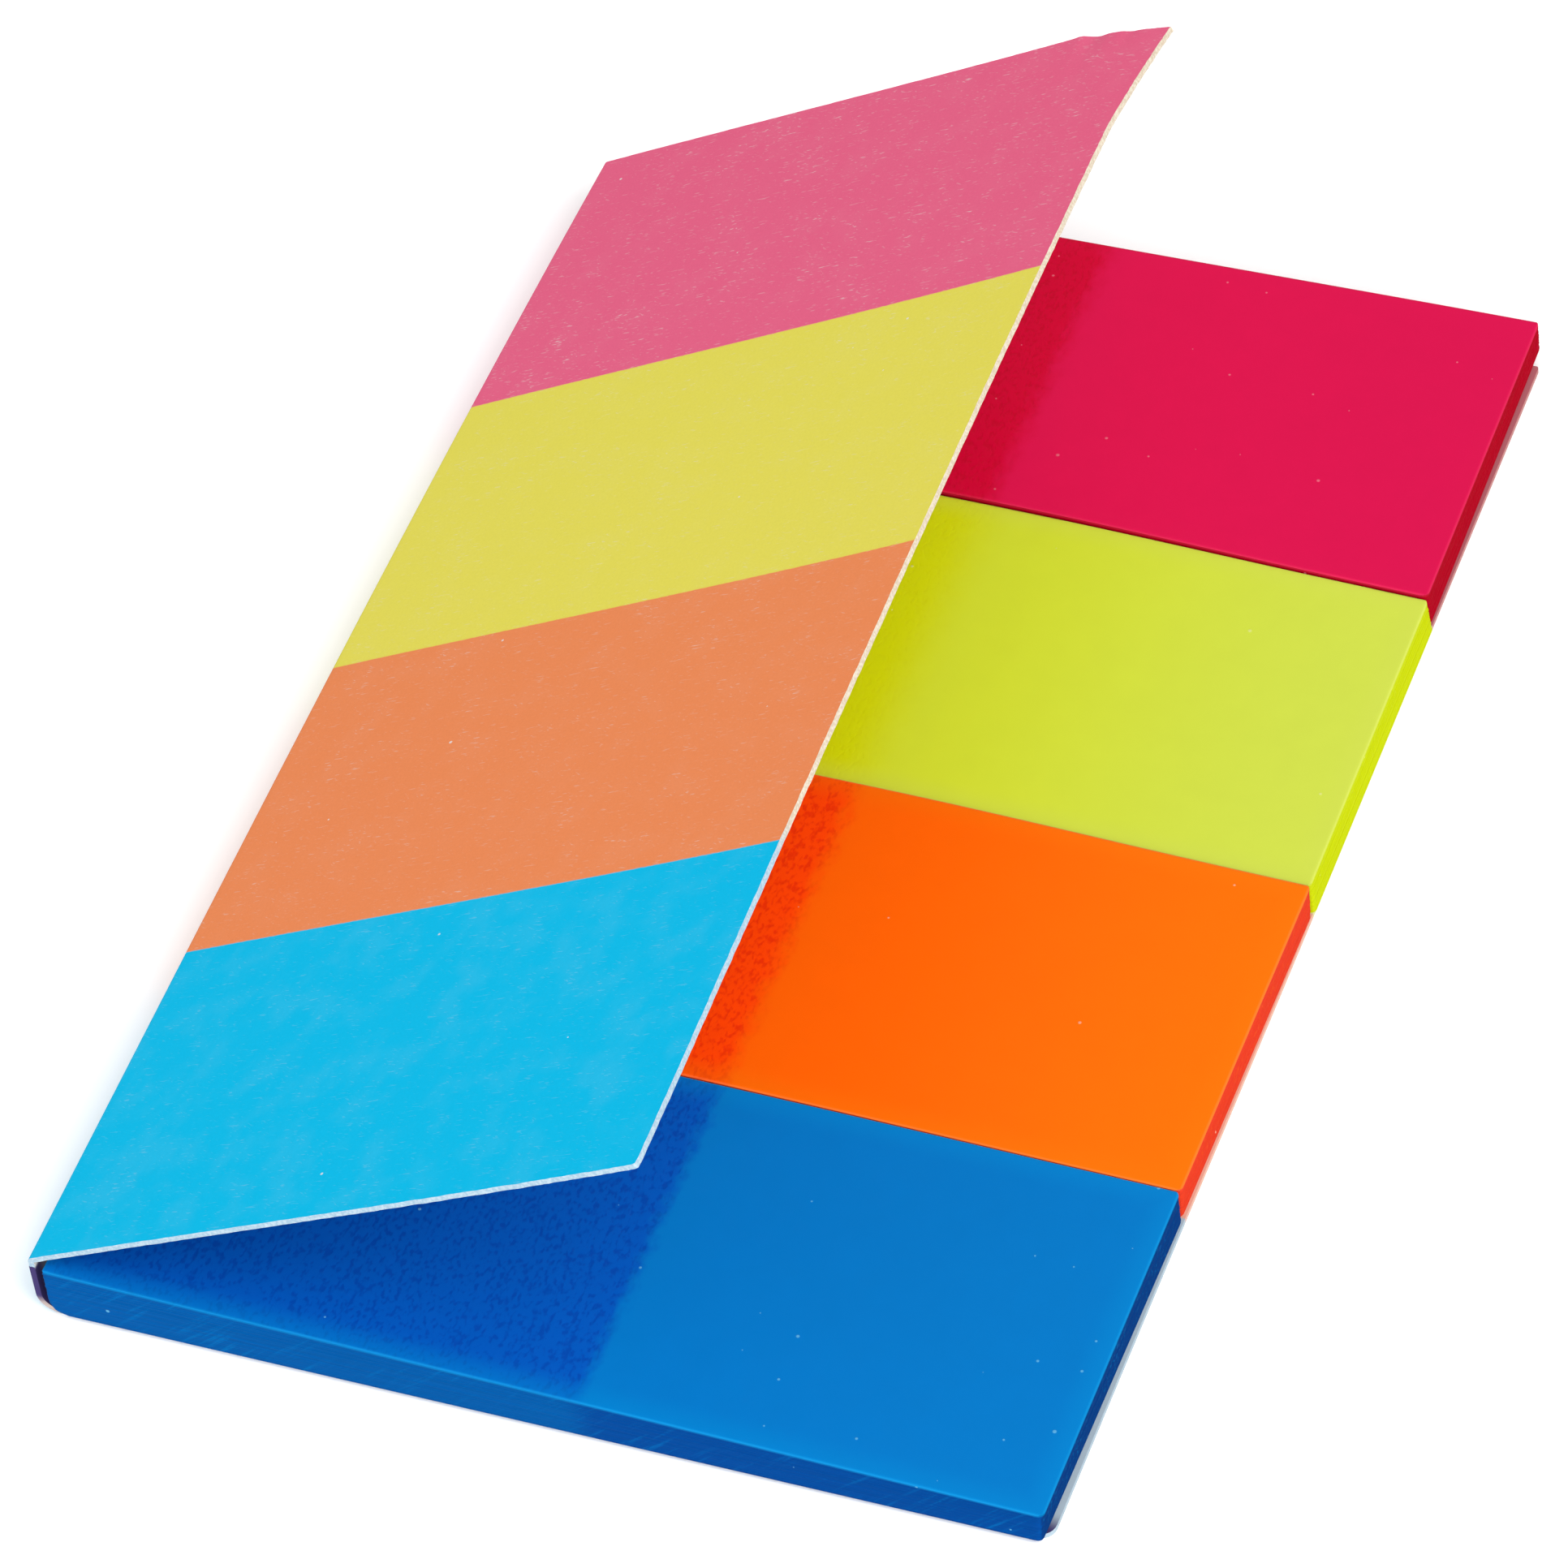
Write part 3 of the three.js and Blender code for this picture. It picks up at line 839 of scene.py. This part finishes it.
def card_back():
    """The back panel, lower fold and spine: one centre line, offset by half the thickness.

    The centre line runs in from the free edge, round the lower fold's arc, and up the
    leaning spine to where the crease starts; every point of it is carried along Y.
    """
    panel_shares = crowded_shares(*PANEL_GRID)[:-1]
    panel_x = CARD_FREE_EDGE_FAR - (CARD_FREE_EDGE_FAR - LOWER_FOLD_X) * panel_shares
    turn = np.radians(np.linspace(270.0, 180.0, LOWER_FOLD_POINTS))
    fold_x = LOWER_FOLD_X + LOWER_FOLD_RADIUS * np.cos(turn)
    fold_z = LOWER_FOLD_Z + LOWER_FOLD_RADIUS * np.sin(turn)
    lean = np.array([HINGE_X - fold_x[-1], HINGE_Z - LOWER_FOLD_Z])
    lean = lean / np.linalg.norm(lean)
    top = np.array([HINGE_X, HINGE_Z]) - CREASE_REACH * lean
    climb = np.linspace(0.0, 1.0, SPINE_POINTS)[1:]
    spine_x = fold_x[-1] + (top[0] - fold_x[-1]) * climb
    spine_z = LOWER_FOLD_Z + (top[1] - LOWER_FOLD_Z) * climb
    centre_x = np.concatenate([panel_x, fold_x, spine_x])
    centre_z = np.concatenate([np.full(len(panel_x), HALF_CARD), fold_z, spine_z])
    way_x = np.concatenate([np.zeros(len(panel_x)), np.cos(turn), np.full(len(climb), -lean[1])])
    way_z = np.concatenate([np.full(len(panel_x), -1.0), np.sin(turn), np.full(len(climb), lean[0])])
    rise = np.clip((centre_z - LOWER_FOLD_Z) / (HINGE_Z - LOWER_FOLD_Z), 0.0, 1.0)
    shares = crowded_shares(*SPINE_GRID)
    length = back_far_y(centre_x) - CARD_NEAR_Y
    square_along = length[:, None] * shares[None, :]
    from_free_edge = np.repeat((CARD_FREE_EDGE_FAR - centre_x)[:, None], len(shares), axis=1)
    on_panel = from_free_edge < BACK_CORNER_ZONE
    rounded_in, rounded_along = rounded_corners(
        from_free_edge, square_along, (2 * TAB_LENGTH, length[0]), BACK_CORNER_RADII
    )
    along = np.where(on_panel, rounded_along, square_along)
    shift_in = np.where(on_panel, rounded_in - from_free_edge, 0.0)
    near_share = 1.0 - smooth_step(0.0, FREE_EDGE_SKEW_LENGTH, along)
    free_edge_near = (CARD_FREE_EDGE_FAR - CARD_FREE_EDGE_NEAR) * near_share
    shift_in = shift_in + free_edge_near * np.clip(centre_x / TAB_LENGTH, 0.0, 1.0)[:, None]
    y = CARD_NEAR_Y + along
    bowed = rise[:, None] * fold_shift(shares)[None, :]
    faces = []
    for side in (1.0, -1.0):
        x = centre_x[:, None] + side * HALF_CARD * way_x[:, None] - shift_in + bowed
        z = np.repeat((centre_z + side * HALF_CARD * way_z)[:, None], len(shares), axis=1)
        faces.append(np.stack([x, y, z], axis=2))
    outer, inner = faces
    loops = cut_edge_loops(outer, inner, levels=3, roughness=0.008, bulge=0.006)
    piece = closed_shell("card_back", outer, inner, loops, [SPINE_PRINT, CUT_BACK, PLAIN_CARD])
    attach(piece, "back")
    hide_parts("back_card")
    return piece


def crease_line(distance, turn_to):
    """Centre line of the crease in X and Z at signed distances along it, and its outer normal.

    Straight up the spine, then an arc that leaves the spine and meets the cover at equal
    distances from their meeting point, then straight along the cover.
    """
    turned_by = SPINE_LEAN - turn_to
    tangent = CREASE_RADIUS * np.tan(turned_by / 2.0)
    arc_length = CREASE_RADIUS * turned_by
    sweep = np.clip(distance + arc_length / 2.0, 0.0, arc_length)
    before = np.minimum(distance + arc_length / 2.0, 0.0)
    after = np.maximum(distance - arc_length / 2.0, 0.0)
    heading = SPINE_LEAN - sweep / CREASE_RADIUS
    arc_x = CREASE_RADIUS * (np.sin(SPINE_LEAN) - np.sin(heading))
    arc_z = CREASE_RADIUS * (np.cos(heading) - np.cos(SPINE_LEAN))
    lean_x, lean_z = np.cos(SPINE_LEAN), np.sin(SPINE_LEAN)
    x = HINGE_X - tangent * lean_x + before * lean_x + arc_x + after * np.cos(turn_to)
    z = HINGE_Z - tangent * lean_z + before * lean_z + arc_z + after * np.sin(turn_to)
    return x, z, -np.sin(heading), np.cos(heading)


def card_crease():
    """The crease: a short strip of card bent round the fold, from the spine to the cover."""
    shares = crowded_shares(*SPINE_GRID)
    angle = cover_angle(shares)[None, :]
    turned_by = SPINE_LEAN - angle
    half_turn = turned_by / 2.0
    ends = CREASE_REACH - CREASE_RADIUS * np.tan(half_turn) + CREASE_RADIUS * turned_by / 2.0
    distance = np.linspace(-1.0, 1.0, CREASE_POINTS)[:, None] * ends
    x, z, out_x, out_z = crease_line(distance, angle)
    along_fold = CARD_NEAR_Y + (SPINE_FAR_Y - CARD_NEAR_Y) * shares
    y = np.repeat(along_fold[None, :], CREASE_POINTS, axis=0)
    bowed = fold_shift(shares)[None, :]
    outer = np.stack([x + HALF_CARD * out_x + bowed, y, z + HALF_CARD * out_z], axis=2)
    inner = np.stack([x - HALF_CARD * out_x + bowed, y, z - HALF_CARD * out_z], axis=2)
    loops = cut_edge_loops(outer, inner, levels=3, roughness=0.006, bulge=0.004)
    finishes = [PRINTED, CUT_CARD, PLAIN_CARD]
    piece = closed_shell("card_crease", outer, inner, loops, finishes, crease_angle=60.0)
    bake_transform(piece)
    return piece


def dent_depth(to_free_edge, to_far_edge):
    """How far the corner is bent down: a power of the share of the way beyond the dent's line.

    Small buckles are added where the bent card crosses the far edge. Each is a bell curve
    along that edge, and they fade out exponentially away from it.
    """
    beyond = 1.0 - to_free_edge / DENT_ALONG_FAR_EDGE - to_far_edge / DENT_ALONG_FREE_EDGE
    drop = DENT_DROP * np.maximum(0.0, beyond) ** DENT_CURVE
    buckle = np.zeros_like(to_free_edge)
    for height, place, half_width in BUCKLES:
        buckle = buckle + height * np.exp(-(((to_free_edge - place) / half_width) ** 2))
    return drop + buckle * np.exp(-to_far_edge / BUCKLE_REACH)


def card_cover():
    """The cover: a plate from the crease to the free edge, twisted along the spine.

    A point lies at a width across from the fold, along a direction whose angle grows from
    the near end to the far end; the plate sags by 6.75u^2(1-u) of its sag at a share u of
    its width, and its far free corner drops by dent_depth().
    """
    count_across, crowding_across = COVER_GRID_ACROSS
    count_along, crowding_along = COVER_GRID_ALONG
    across_shares = 1.0 - (1.0 - np.linspace(0.0, 1.0, count_across)) ** crowding_across
    along_shares = 1.0 - (1.0 - np.linspace(0.0, 1.0, count_along)) ** crowding_along
    width_mesh, along_mesh = np.meshgrid(across_shares, along_shares, indexing="ij")
    across = CREASE_REACH + (COVER_WIDTH - CREASE_REACH) * width_mesh
    length = SPINE_FAR_Y - CARD_NEAR_Y - across * math.tan(math.radians(COVER_CUT_SKEW))
    along = length * along_mesh
    radii = (0.0, COVER_CORNER_RADIUS, 0.0, 0.0)
    across, along = rounded_corners(across, along, (COVER_WIDTH, 1e6), radii)
    free_rough = smooth_step(COVER_WIDTH - EDGE_DEPTH, COVER_WIDTH, across)
    wobble = edge_wobble(count_along, EDGE_ROUGHNESS, LONG_EDGE_KNOTS)
    across = across + free_rough * wobble[None, :]
    near_rough = smooth_step(EDGE_DEPTH, 0.0, along)
    wobble = edge_wobble(count_across, EDGE_ROUGHNESS, SHORT_EDGE_KNOTS)
    along = along + near_rough * wobble[:, None]
    far_rough = smooth_step(length - EDGE_DEPTH, length, along)
    wobble = edge_wobble(count_across, EDGE_ROUGHNESS * 0.6, SHORT_EDGE_KNOTS)
    along = along + far_rough * wobble[:, None]
    share = along / (SPINE_FAR_Y - CARD_NEAR_Y)
    angle = cover_angle(share)
    sag = COVER_SAG * 6.75 * width_mesh**2 * (1.0 - width_mesh)
    drop = dent_depth(COVER_WIDTH - across, length - along) + sag
    faces = []
    for side in (1.0, -1.0):
        height = side * HALF_CARD - drop
        x = HINGE_X + fold_shift(share) + across * np.cos(angle) - height * np.sin(angle)
        z = HINGE_Z + across * np.sin(angle) + height * np.cos(angle)
        faces.append(np.stack([x, CARD_NEAR_Y + along, z], axis=2))
    outer, inner = faces
    loops = cut_edge_loops(outer, inner, levels=4, roughness=0.008, bulge=0.008)
    piece = closed_shell("card_cover", outer, inner, loops, [PRINTED, CUT_CARD, PLAIN_CARD])
    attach(piece, "cover")
    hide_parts("front_cover")
    return piece


def heel_inset(height):
    """How far inside the stack's square spine end the heel's arc is, at a height off the card."""
    below = np.clip(HEEL_RADIUS - height, 0.0, HEEL_RADIUS)
    return HEEL_RADIUS - np.sqrt(HEEL_RADIUS**2 - below**2)


def film_stack(stack):
    """One stack of films: a top film, walls with a fine line between films, and an underside.

    In plan it is a rectangle with rounded corners. At a height share h every point lies
    at underside + h * thickness. The top falls evenly from the spine to the free end, with
    a hump added, a bell curve along the tab, and a droop taken off, v^2 times a power of
    (1 - u) for shares u along the tab and v across the stack. The walls lean at the free
    end and follow the heel's arc at the spine, and each film stands out or in by its own
    small random amount.
    """
    u_mesh, v_mesh = np.meshgrid(
        crowded_shares(*STACK_GRID_ALONG), crowded_shares(*STACK_GRID_ACROSS), indexing="ij"
    )
    width = stack["y"][1] - stack["y"][0]
    radii = (SPINE_CORNER_RADIUS, STACK_CORNER_RADIUS, STACK_CORNER_RADIUS, SPINE_CORNER_RADIUS)
    plan_x, plan_y = rounded_corners(u_mesh * TAB_LENGTH, v_mesh * width, (TAB_LENGTH, width), radii)
    u, v = plan_x / TAB_LENGTH, plan_y / width
    rim = np.minimum.reduce([plan_x, TAB_LENGTH - plan_x, plan_y, width - plan_y])
    walk, inside = border_walk(*u.shape)

    def surface(share, u_at, v_at):
        """Points of the stack at a share of its height, and shares along and across it."""
        lift = between(stack["lift"], v_at) * smooth_step(LIFT_FROM, 1.0, u_at)
        underside = CARD_THICKNESS + lift
        free_top = between(stack["top_z"], v_at)
        top_z = stack["spine_top"] + (free_top - stack["spine_top"]) * u_at
        top_z = top_z + between(stack["hump"], v_at) * np.exp(-(((u_at - HUMP_AT) / HUMP_WIDTH) ** 2))
        top_z = top_z - stack["droop"] * v_at**2 * (1.0 - u_at) ** DROOP_POWER
        z = underside + share * (top_z - underside)
        bottom_x, top_x = between(stack["bottom_x"], v_at), between(stack["top_x"], v_at)
        end_x = bottom_x + share * (top_x - bottom_x)
        inset = heel_inset(z - CARD_THICKNESS)
        heel_share = np.clip(1.0 - u_at * TAB_LENGTH / HEEL_REACH, 0.0, 1.0)
        start_x = stack["spine_x"] + inset * heel_share
        x = start_x + u_at * (end_x - stack["spine_x"])
        y = stack["y"][0] + v_at * width + stack["y_slant"] * u_at * (1.0 - v_at)
        y = y - stack["far_slant"] * v_at * (1.0 - u_at)
        return np.stack([x, y, z], axis=-1)

    top = surface(1.0, u, v)
    wave_at = u * TOP_WAVE_TURN + stack["spine_top"] * TOP_WAVE_OFFSET
    top[..., 2] += TOP_WAVE * np.sin(wave_at) * np.sin(v * math.pi)
    rounding = np.clip(1.0 - rim / STACK_TOP_ROUNDING, 0.0, 1.0)
    top[..., 2] -= STACK_TOP_ROUNDING * (1.0 - np.sqrt(1.0 - rounding**2)) * TOP_RIM_DROP
    bottom = surface(0.0, u, v)
    u_rim, v_rim = u.reshape(-1)[walk], v.reshape(-1)[walk]
    flat = np.stack([u * TAB_LENGTH, v * width], axis=-1).reshape(-1, 2)
    out = flat[walk] - flat[inside]
    out = out / np.linalg.norm(out, axis=1, keepdims=True)
    level_count = FILMS_IN_STACK * LOOPS_PER_FILM
    shares = 1.0 - (np.arange(level_count) + 0.5) / level_count
    scatter_across = RANDOM.normal(0.0, FILM_SCATTER, FILMS_IN_STACK)
    scatter_along = RANDOM.normal(0.0, FILM_SCATTER, FILMS_IN_STACK)
    loops = []
    for level, share in enumerate(shares):
        film, loop_of_film = divmod(level, LOOPS_PER_FILM)
        line = 0.0 if loop_of_film == 1 else -FILM_LINE_DEPTH
        loop = surface(share, u_rim, v_rim)
        step = out[:, 0] * scatter_across[film] + out[:, 1] * scatter_along[film] + line
        step = step + TOP_RIM_INSET * smooth_step(0.0, TOP_RIM_SHARE, 1.0 - share)
        loop[:, :2] += out * (step - TOP_RIM_INSET)[:, None]
        loops.append(loop)
    loops = np.array(loops)
    below_top = top.reshape(-1, 3)[walk][None, :, 2] - loops[:, :, 2]
    underside_rim = np.full(rim.size, UNDERSIDE_BELOW_TOP)
    rim_values = {"rim_mm": np.concatenate([rim.reshape(-1), below_top.reshape(-1), underside_rim])}
    tint = TINTS[stack["name"]]
    finishes = [film_top_finish(tint), film_cut_finish(tint), film_under_finish(tint)]
    piece = closed_shell(
        stack["name"], top, bottom, loops, finishes, crease_angle=50.0, values=rim_values
    )
    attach(piece, "back")
    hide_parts(stack["node"])
    return piece


# Stage


def pale_floor():
    """A wide pale floor under the booklet: a grid that is flat to its edges."""
    reach = np.linspace(-FLOOR_REACH, FLOOR_REACH, FLOOR_POINTS)
    x, y = np.meshgrid(reach, reach, indexing="ij")
    points = np.stack([x, y, np.full_like(x, -FLOOR_BELOW)], axis=2).reshape(-1, 3)
    quads = grid_quads(FLOOR_POINTS, FLOOR_POINTS)
    finish = np.zeros(len(quads))
    floor = add_piece("floor", points, quads, [floor_finish()], finish, crease_angle=30.0)


def placing(right, up, back, place):
    """The matrix that turns an object to three axes and puts it at a place."""
    rows = [[right[axis], up[axis], back[axis], place[axis]] for axis in range(3)]
    return Matrix(rows + [[0, 0, 0, 1]])


def soft_light(name, place, size, power):
    """A square softbox that faces the booklet."""
    lamp = bpy.data.lights.new(name, "AREA")
    lamp.shape = "SQUARE"
    lamp.size = size
    lamp.energy = power
    holder = bpy.data.objects.new(name, lamp)
    away = np.array(place) / np.linalg.norm(place)
    side = np.cross([0.0, 0.0, 1.0], away)
    side = side / np.linalg.norm(side)
    holder.matrix_world = placing(side, np.cross(away, side), away, place)
    bpy.context.scene.collection.objects.link(holder)


def studio():
    """Dim even surroundings and four large softboxes, none of them mirrored in the films."""
    world = bpy.data.worlds.new("studio")
    world.use_nodes = True
    background = world.node_tree.nodes["Background"]
    background.inputs["Color"].default_value = (1.0, 1.0, 1.0, 1.0)
    background.inputs["Strength"].default_value = WORLD_LIGHT
    bpy.context.scene.world = world
    for name, place, size, power in SOFTBOXES:
        soft_light(name, place, size, power)


def camera():
    """The photograph's camera, from its solved axes."""
    lens = bpy.data.cameras.new("camera")
    lens.lens = CAMERA_LENS
    lens.sensor_width = CAMERA_SENSOR
    lens.clip_start = CAMERA_CLIP_START
    holder = bpy.data.objects.new("camera", lens)
    up = [-value for value in CAMERA_DOWN]
    back = [-value for value in CAMERA_FORWARD]
    place = [value * MM for value in CAMERA_AT]
    holder.matrix_world = placing(CAMERA_RIGHT, up, back, place)
    bpy.context.scene.collection.objects.link(holder)
    bpy.context.scene.camera = holder


PRINTED = printed_finish("printed_cover")
SPINE_PRINT = printed_finish("printed_spine", bare_from_x=(1.2 - BOOKLET_ORIGIN[0]) * MM)
CUT_CARD = cut_card_finish("cut_card_edge", with_painted_shade=False)
CUT_BACK = cut_card_finish("cut_back_edge", with_painted_shade=True)
PLAIN_CARD = plain_card_finish()

card_back()
card_crease()
card_cover()
for each_stack in STACKS:
    film_stack(each_stack)
pale_floor()
studio()
camera()
bpy.context.scene.view_settings.view_transform = "Standard"
